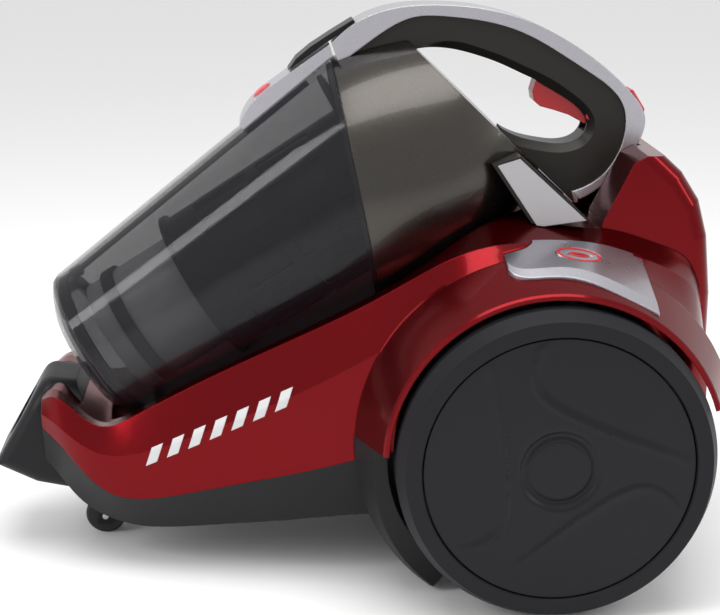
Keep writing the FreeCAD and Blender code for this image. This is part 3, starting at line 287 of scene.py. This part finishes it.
def ridge_height(line, u, v):
    """How high one ridge stands at (u, v): a long ramp on its outer side and a short drop on the other."""
    gap = np.hypot(line[:, 0] - u, line[:, 1] - v)
    nearest = int(gap.argmin())
    step = min(nearest, len(line) - 2)
    along = line[step + 1] - line[step]
    outside = along[0] * (v - line[nearest, 1]) - along[1] * (u - line[nearest, 0]) < 0
    reach = RIDGE_RAMP if outside else RIDGE_DROP
    share = nearest / (len(line) - 1)
    rise = smooth_step(share, 0.0, 0.3) * (1 - 0.6 * smooth_step(share, 0.8, 1.0))
    fade = RIDGE_START_SHARE + (1 - RIDGE_START_SHARE) * rise
    return RIDGE_HEIGHT * fade * (1 - smooth_step(gap[nearest], 0.0, reach))


def disc_height(lines, radius, u, v):
    """How far the disc's surface stands out from its flat face at (u, v), at this radius."""
    height = max([0.0] + [ridge_height(line, u, v) for line in lines])
    height *= smooth_step(DISC_R - radius, 0.5, 5.0)
    height -= BOSS_DEPTH * (1 - smooth_step(radius, BOSS_DISC_R + 1.6, BOSS_R))
    height += BOSS_DISC_RISE * (1 - smooth_step(radius, BOSS_DISC_R - 0.8, BOSS_DISC_R + 0.4))
    height -= GROOVE_DEPTH * np.exp(-((radius - GROOVE_R) / GROOVE_WIDTH) ** 2)
    if radius == DISC_R:
        height -= DISC_RIM_DROP
    return height


def make_wheel_disc(side_name, side):
    """The wheel's cover: a flat disc with swept ridges and a dished boss, on the side given by -1 or 1."""
    lines = ridge_lines()
    angles = [2 * pi * k / DISC_STEPS for k in range(DISC_STEPS)]
    verts, faces = [], []
    for radius in DISC_RINGS:
        for angle in angles:
            u, v = radius * cos(angle), radius * sin(angle)
            out = DISC_FACE + disc_height(lines, radius, u, v)
            verts.append(((WHEEL_X + u) * MM, side * out * MM, (WHEEL_R + v) * MM))
    for angle in angles:
        u, v = DISC_R * cos(angle), DISC_R * sin(angle)
        verts.append(((WHEEL_X + u) * MM, side * DISC_BACK * MM, (WHEEL_R + v) * MM))
    for ring in range(len(DISC_RINGS)):
        for k in range(DISC_STEPS):
            a, b = ring * DISC_STEPS + k, ring * DISC_STEPS + (k + 1) % DISC_STEPS
            faces.append((a, b, b + DISC_STEPS, a + DISC_STEPS))
    faces.append(tuple(range(DISC_STEPS)))
    faces.append(tuple(range(len(DISC_RINGS) * DISC_STEPS, len(verts))))
    disc = new_piece("wheel_disc_" + side_name, verts, faces, WHEEL, "wheel_" + side_name)
    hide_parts("wheel_cover_" + side_name)


BAR_COUNT = 7
BAR_WIDTH, BAR_HEIGHT, BAR_LEAN = 7.0, 12.0, 4.0
BARS_START, BARS_END = (-124.0, 71.0), (-46.0, 109.0)
BAR_CELLS = 6
BAR_PROUD, BAR_SUNK = 0.25, 0.2


def bar_layers(skin, side, x0, z0, rise):
    """A bar's grid of points just outside the skin, and the same grid just inside it."""
    front, back = [], []
    for row in range(BAR_CELLS + 1):
        for col in range(BAR_CELLS + 1):
            u, v = col / BAR_CELLS * BAR_WIDTH, row / BAR_CELLS * BAR_HEIGHT
            x, z = x0 + u + BAR_LEAN * row / BAR_CELLS, z0 + rise * u + v
            far_out = Vector((x * MM, side * 2 * HALF_WIDTH * MM, z * MM))
            hit, normal, _, _ = skin.ray_cast(far_out, Vector((0, -side, 0)))
            if normal.y * side < 0:
                normal = -normal
            front.append(hit + normal * BAR_PROUD * MM)
            back.append(hit - normal * BAR_SUNK * MM)
    return front, back


def bar_faces():
    """Faces between the points of a bar's front and back grids, with the walls round its rim."""
    wide = BAR_CELLS + 1
    layer = wide * wide
    faces = []
    for row in range(BAR_CELLS):
        for col in range(BAR_CELLS):
            a = row * wide + col
            quad = (a, a + 1, a + 1 + wide, a + wide)
            faces.append(quad)
            faces.append(tuple(i + layer for i in reversed(quad)))
    bottom = list(range(wide))
    right = [row * wide + BAR_CELLS for row in range(1, wide)]
    top = [BAR_CELLS * wide + col for col in range(BAR_CELLS - 1, -1, -1)]
    left = [row * wide for row in range(BAR_CELLS - 1, 0, -1)]
    rim = bottom + right + top + left
    for a, b in zip(rim, rim[1:] + rim[:1]):
        faces.append((a, b, b + layer, a + layer))
    return faces


def make_side_bars(side_name, side):
    """A plain row of slanted bars on the body's side, pressed onto its surface."""
    skin = surface_of("upper_body")
    rise = (BARS_END[1] - BARS_START[1]) / (BARS_END[0] - BARS_START[0])
    for bar in range(BAR_COUNT):
        share = bar / (BAR_COUNT - 1)
        x0 = BARS_START[0] + (BARS_END[0] - BARS_START[0]) * share
        z0 = BARS_START[1] + (BARS_END[1] - BARS_START[1]) * share
        front, back = bar_layers(skin, side, x0, z0, rise)
        name = "side_bar_%s_%d" % (side_name, bar)
        new_piece(name, front + back, bar_faces(), MARK, "body", smooth=False)


BUTTON_FACE = Vector((130.0, -101.0, 203.6)) * MM
BUTTON_NORMAL = Vector((0.16, -0.30, 0.94)).normalized()
BUTTON_HALF_LONG, BUTTON_HALF_WIDE = 12.4, 6.5
MARK_HALF_LONG, MARK_HALF_WIDE = 5.2, 1.4
RING_R, RING_HEIGHT, RING_LIFT = 0.9, 0.45, 0.9


def make_button_ring(name, body, side, half_long, half_wide):
    """A raised red oval line on the button's face."""
    normal = Vector((BUTTON_NORMAL.x, -side * BUTTON_NORMAL.y, BUTTON_NORMAL.z))
    centre = Vector((BUTTON_FACE.x, -side * BUTTON_FACE.y, BUTTON_FACE.z)) + normal * RING_LIFT * MM
    turn = Vector((0, 0, 1)).rotation_difference(normal).to_matrix()
    around, section = 64, 8
    verts, faces = [], []
    for k in range(around):
        angle = 2 * pi * k / around
        for j in range(section):
            tilt = 2 * pi * j / section
            reach = RING_R * cos(tilt)
            long, wide = half_long + reach, half_wide + reach
            point = Vector((long * cos(angle), wide * sin(angle), RING_HEIGHT * sin(tilt)))
            verts.append(centre + turn @ point * MM)
            a = k * section + j
            b = k * section + (j + 1) % section
            c = ((k + 1) % around) * section + (j + 1) % section
            d = ((k + 1) % around) * section + j
            faces.append((a, b, c, d))
    new_piece(name, verts, faces, BUTTON, body)


for side_name, side, body in (("left", -1, "power_button"), ("right", 1, "rewind_button")):
    make_button_ring("button_ring_" + side_name, body, side, BUTTON_HALF_LONG, BUTTON_HALF_WIDE)
    make_button_ring("button_mark_" + side_name, body, side, MARK_HALF_LONG, MARK_HALF_WIDE)

for side_name, side in (("left", -1), ("right", 1)):
    make_wheel_disc(side_name, side)
    make_side_bars(side_name, side)


# ---------------------------------------------------------------- camera, floor and light

AZIMUTH, ELEVATION, DISTANCE = radians(-3.5), radians(15.09), 1.05
TARGET = Vector((0.010, 0.0, 0.1477))
LENS_MM, SENSOR_MM = 82.06, 36.0


def make_camera():
    """A camera on a long lens, aimed at the middle of the cleaner."""
    back = Vector((sin(AZIMUTH) * cos(ELEVATION), -cos(AZIMUTH) * cos(ELEVATION), sin(ELEVATION)))
    data = bpy.data.cameras.new("camera")
    data.lens = LENS_MM
    data.sensor_width = SENSOR_MM
    data.sensor_fit = "HORIZONTAL"
    camera = bpy.data.objects.new("camera", data)
    camera.location = TARGET + back * DISTANCE
    camera.rotation_euler = (-back).to_track_quat("-Z", "Y").to_euler()
    bpy.context.scene.collection.objects.link(camera)
    bpy.context.scene.camera = camera


def make_floor():
    half = 12.0
    corners = [(-half, -half, 0), (half, -half, 0), (half, half, 0), (-half, half, 0)]
    mesh = bpy.data.meshes.new("floor")
    mesh.from_pydata(corners, [], [(0, 1, 2, 3)])
    floor = bpy.data.objects.new("floor", mesh)
    bpy.context.scene.collection.objects.link(floor)
    wear(floor, new_material("floor_white", (0.93, 0.93, 0.93), 0.8, specular=0.2))


def area_light(name, place, aim, wide, tall, power):
    """A rectangular soft light, wide by tall metres, turned towards aim."""
    data = bpy.data.lights.new(name, "AREA")
    data.shape = "RECTANGLE"
    data.size = wide
    data.size_y = tall
    data.energy = power
    light = bpy.data.objects.new(name, data)
    light.location = place
    light.rotation_euler = (Vector(aim) - Vector(place)).to_track_quat("-Z", "Y").to_euler()
    bpy.context.scene.collection.objects.link(light)


def make_light():
    """An even white surround with a broad light above and a narrow one at each side."""
    world = bpy.data.worlds.new("studio")
    world.use_nodes = True
    world.node_tree.nodes["Background"].inputs["Color"].default_value = (1, 1, 1, 1)
    world.node_tree.nodes["Background"].inputs["Strength"].default_value = 0.80
    bpy.context.scene.world = world
    area_light("top", (0.0, -0.25, 1.3), (0, 0, 0.15), 1.1, 0.8, 11.0)
    area_light("left", (-1.2, -0.6, 0.8), (-0.05, 0, 0.15), 0.25, 0.9, 6.0)
    area_light("right", (1.2, -0.5, 0.8), (0.1, 0, 0.15), 0.2, 0.9, 3.0)
    bpy.context.scene.view_settings.view_transform = "Standard"


make_camera()
make_floor()
make_light()
